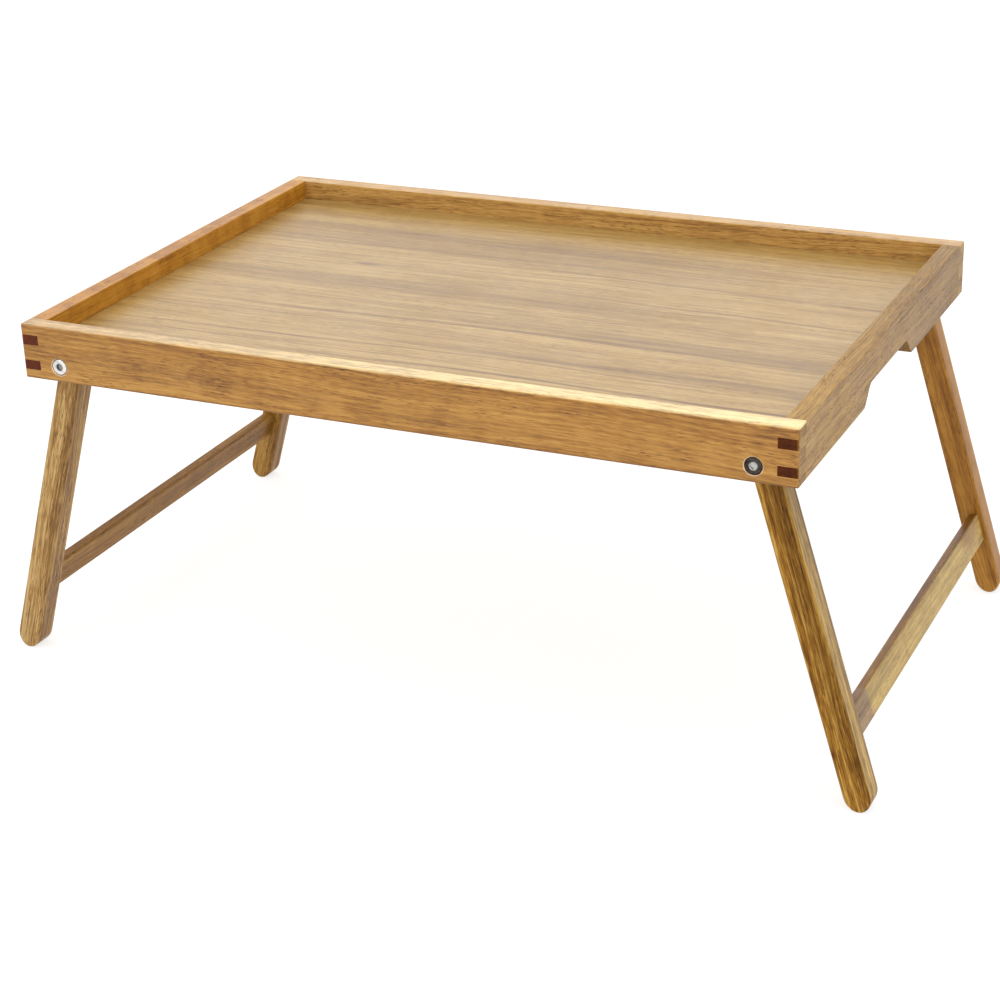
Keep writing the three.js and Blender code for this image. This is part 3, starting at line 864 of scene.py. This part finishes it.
def stretcher(name, place):
    """The rail between the two legs of a frame, with its dowel holes."""
    low, high = own_box(f"{name}_stretcher", place)
    size, middle = (high - low) / 2, (high + low) / 2
    outline = rounded(rectangle(size.x, size.z, (middle.x, middle.z)), STRETCHER_ROUND)
    # It butts on the legs, with only a glue line between
    half = size.y + PIN_CLEARANCE - JOINT_GAP
    rings = [[(u, y, v) for u, v in outline] for y in (-half, half)]
    piece = loft(f"{name}_stretcher_finished", rings)
    tools = []
    for end in ENDS:
        for level in ("lower", "upper"):
            tools.append(grown_pin("hole", *own_box(f"{name}_{end}_{level}_dowel", place)))
    return combine(piece, tools, "DIFFERENCE")


def rounded_profile(points, radius, steps=4):
    """(radius, y) points with the corners rounded that aren't first or last."""
    path = [Vector(point) for point in points]
    smooth = [path[0]]
    for before, corner, after in zip(path, path[1:], path[2:]):
        smooth += middle_corner(before, corner, after, radius, steps)
    return [tuple(point) for point in [*smooth, path[-1]]]


def bolt(name, node, end, place):
    """A flat-headed bolt with a hexagon socket. The head is slightly crowned."""
    low, high = own_box(node, place)
    head_radius = (high.x - low.x) / 2
    face, tip = (low.y, high.y) if end < 0 else (high.y, low.y)
    under = face - end * BOLT_HEAD_HEIGHT
    crown_radius, crown_y = head_radius * 0.6, face - end * BOLT_HEAD_CROWN * 0.3
    profile = [
        (ON_AXIS, face),
        (crown_radius, crown_y),
        *rounded_profile([
            (crown_radius + ON_AXIS, crown_y),
            (head_radius, face - end * BOLT_HEAD_CROWN),
            (head_radius, under),
        ], BOLT_HEAD_ROUNDING),
        (BOLT_RADIUS, under),
        (BOLT_RADIUS, tip + end * BOLT_TIP_TAPER),
        (BOLT_RADIUS - BOLT_TIP_TAPER, tip),
        (ON_AXIS, tip),
    ]
    piece = turned(name, profile)
    corner = SOCKET_ACROSS_FLATS / math.sqrt(3)
    floor = face - end * SOCKET_DEPTH
    turns = [k * math.pi / 3 for k in range(6)]
    rings = [
        [(size * math.cos(turn), y, size * math.sin(turn)) for turn in turns]
        for size, y in (
            (corner * 0.15, floor - end * SOCKET_DIMPLE),
            (corner, floor),
            (corner, face - end * SOCKET_CHAMFER),
            (corner + 0.3 * MM + CUT, face + end * CUT),
        )
    ]
    return combine(piece, [loft("socket", rings)], "DIFFERENCE")


def ring(name, node, place, bore):
    """A washer or an insert: a round ring with eased edges."""
    low, high = own_box(node, place)
    outer = (high.x - low.x) / 2
    corners = [Vector((bore, low.y)), Vector((outer, low.y)), Vector((outer, high.y)),
               Vector((bore, high.y))]
    profile = [tuple(point) for point in rounded(corners, RING_EASE, 3)]
    return turned(name, profile, closed=True)


for name, side in SIDES.items():
    pivot = PIVOTS[f"{name}_frame"]
    place = Matrix.Translation(pivot) @ Matrix.Rotation(-side * SPLAY, 4, "Y")
    node = f"{name}_stretcher"
    settle(polish(stretcher(name, place)), node, finishes[node], place)
    for end_name, end in ENDS.items():
        at = f"{name}_{end_name}"
        made = {
            "leg": leg(at, side, end, place),
            "pivot_bolt": bolt(f"{at}_pivot_bolt_finished", f"{at}_pivot_bolt", end, place),
        }
        for kind, clearance in (
            ("spacer_washer", WASHER_CLEARANCE), ("threaded_insert", INSERT_CLEARANCE),
        ):
            node = f"{at}_{kind}"
            made[kind] = ring(f"{node}_finished", node, place, BOLT_RADIUS + clearance)
        for kind, piece in made.items():
            node = f"{at}_{kind}"
            settle(polish(piece), node, finishes.get(node) or finishes[kind], place)
        for level in ("lower", "upper"):
            for slot in frame["nodes"][f"{at}_{level}_dowel"].material_slots:
                slot.material = finishes["dowel"]

for slot in frame["nodes"]["tray_panel"].material_slots:
    slot.material = finishes["tray_panel"]


# ---------------------------------------------------------------- floor, light and camera


FLOOR_REACH = 12
FLOOR_THICKNESS = 0.02
TRAY_MIDDLE = Vector((0, 0, 0.2))
CAMERA_PLACE = (0.5896, -1.2609, 0.6953)  # fitted to the photo's tray
CAMERA_TURN = (25.448, 23.672, -1.971)  # azimuth, elevation and roll, in degrees
CAMERA_LENS = 82.66  # millimetres, on a sensor of 36


def floor():
    """A wide, pale floor that glows a little, like a lit studio sweep."""
    made = block("floor", (-FLOOR_REACH, -FLOOR_REACH, -FLOOR_THICKNESS),
                 (FLOOR_REACH, FLOOR_REACH, 0))
    material = bpy.data.materials.new("floor_paper")
    material.use_nodes = True
    graph = Graph(material.node_tree)
    shader = material.node_tree.nodes["Principled BSDF"]
    place = graph.node("TexCoord").outputs["Object"]
    clouds = graph.noise(place, (3, 3, 3), 3)
    tone = graph.mix(clouds, (0.34, 0.34, 0.34, 1), (0.37, 0.37, 0.37, 1))
    graph.tree.links.new(tone, shader.inputs["Base Color"])
    shader.inputs["Roughness"].default_value = 0.9
    shader.inputs["Specular IOR Level"].default_value = 0
    shader.inputs["Emission Color"].default_value = (1, 1, 1, 1)
    shader.inputs["Emission Strength"].default_value = 0.74
    made.data.materials.append(material)


def surroundings():
    """A white studio, brightest behind the table and a little above it."""
    world = bpy.data.worlds.new("studio")
    world.use_nodes = True
    bpy.context.scene.world = world
    graph = Graph(world.node_tree)
    direction = graph.node("TexCoord").outputs["Generated"]
    backdrop = Vector((-0.42, 0.85, 0.34)).normalized()
    facing = graph.vector("DOT_PRODUCT", direction, tuple(backdrop))
    strength = graph.ramp(facing, 0.35, 0.97, 0.9, 1.6)
    background = world.node_tree.nodes["Background"]
    graph.tree.links.new(strength, background.inputs["Strength"])
    background.inputs["Color"].default_value = (1, 1, 1, 1)


def softbox(name, place, size, power):
    """A soft light that faces the middle of the tray."""
    light = bpy.data.lights.new(name, "AREA")
    light.shape = "RECTANGLE"
    light.size, light.size_y = size
    light.energy = power
    made = bpy.data.objects.new(name, light)
    made.location = place
    aim = TRAY_MIDDLE - Vector(place)
    made.rotation_euler = aim.to_track_quat("-Z", "Y").to_euler()
    bpy.context.scene.collection.objects.link(made)


def camera():
    azimuth, elevation, roll = (math.radians(angle) for angle in CAMERA_TURN)
    back = Vector((
        math.sin(azimuth) * math.cos(elevation),
        -math.cos(azimuth) * math.cos(elevation),
        math.sin(elevation),
    ))
    turn = back.to_track_quat("Z", "Y").to_matrix() @ Matrix.Rotation(roll, 3, "Z")
    made = bpy.data.objects.new("camera", bpy.data.cameras.new("camera"))
    made.data.sensor_width = 36
    made.data.lens = CAMERA_LENS
    made.matrix_world = Matrix.Translation(CAMERA_PLACE) @ turn.to_4x4()
    bpy.context.scene.collection.objects.link(made)
    bpy.context.scene.camera = made


floor()
surroundings()
softbox("overhead", (0.3, -0.2, 1.9), (1.6, 1.2), 6)
softbox("front", (-0.9, -2.2, 1.5), (1.4, 1.0), 14)
softbox("right", (2.0, -1.0, 1.1), (1.2, 1.0), 5)
camera()
bpy.context.scene.view_settings.view_transform = "Standard"
